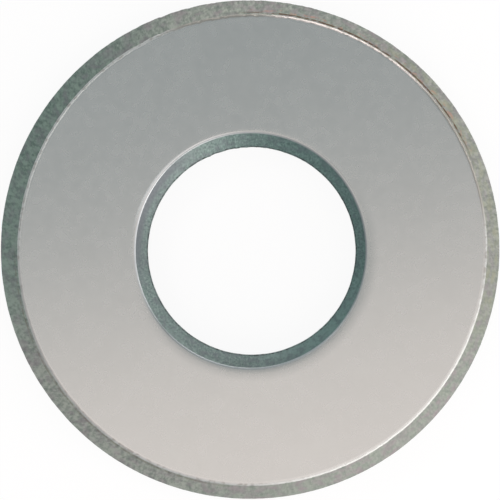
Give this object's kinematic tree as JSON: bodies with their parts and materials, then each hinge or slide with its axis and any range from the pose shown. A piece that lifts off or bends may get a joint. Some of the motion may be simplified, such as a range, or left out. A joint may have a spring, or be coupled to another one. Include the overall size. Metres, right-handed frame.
{
  "type": "tile cutter wheel",
  "caption": "Flat ring-shaped scoring wheel with lapped faces, a V-ground cutting edge round its rim and a plain bore chamfered at both ends.",
  "frame": {"origin": "centre of the bore, half-way through the thickness", "axes": "+Z along the bore axis, square to the two flat faces; the wheel lies flat and the cutting edge is in the plane Z = 0. The wheel is the same all round, so +X and +Y are any two directions in that plane."},
  "size_m": [0.015, 0.015, 0.0016],
  "materials": {
    "carbide": "sintered tungsten carbide with satin lapped faces and ground bevels"
  },
  "bodies": {
    "root": {"cutter_wheel": "carbide"}
  },
  "joints": []
}
